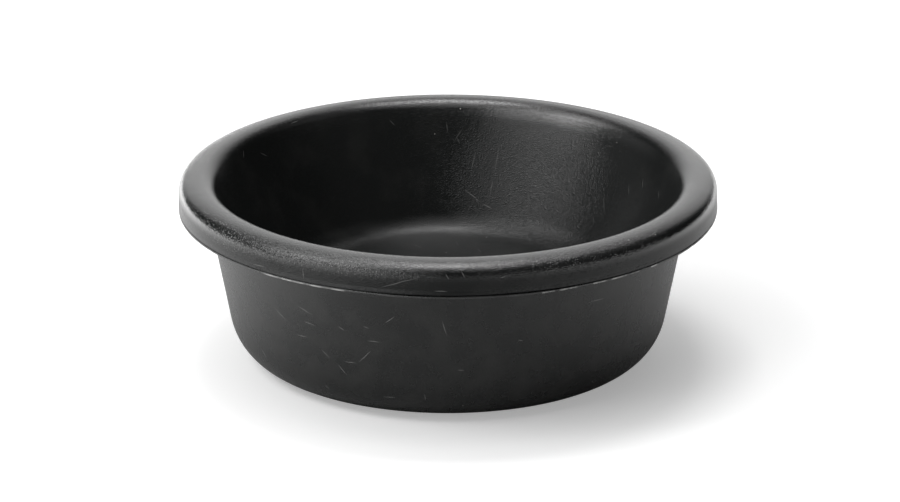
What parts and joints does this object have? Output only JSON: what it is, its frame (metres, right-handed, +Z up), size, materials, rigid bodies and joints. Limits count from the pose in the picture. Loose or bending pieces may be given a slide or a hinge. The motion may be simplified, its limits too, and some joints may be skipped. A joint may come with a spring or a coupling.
{
  "type": "animal feeding bowl",
  "caption": "Round double-walled feeding bowl with a rolled rim, a raised tapered basin, an outer shell and a non-slip foot ring.",
  "frame": {"origin": "on the axis of the bowl, on the plane that the foot ring stands on", "axes": "+Z up along the bowl's axis; the bowl is turned about Z, so +X and +Y are any two level directions at right angles"},
  "size_m": [0.3, 0.3, 0.104],
  "materials": {
    "basin_plastic": "black, dyed through, low sheen over a fine moulded grain, with light scratches and scuffs",
    "shell_plastic": "black, dyed through, a little duller than the basin, with light scratches",
    "foot_rubber": "soft matt black rubber"
  },
  "bodies": {
    "root": {"inner_bowl": "basin_plastic", "outer_shell": "shell_plastic", "foot_ring": "foot_rubber"}
  },
  "joints": []
}
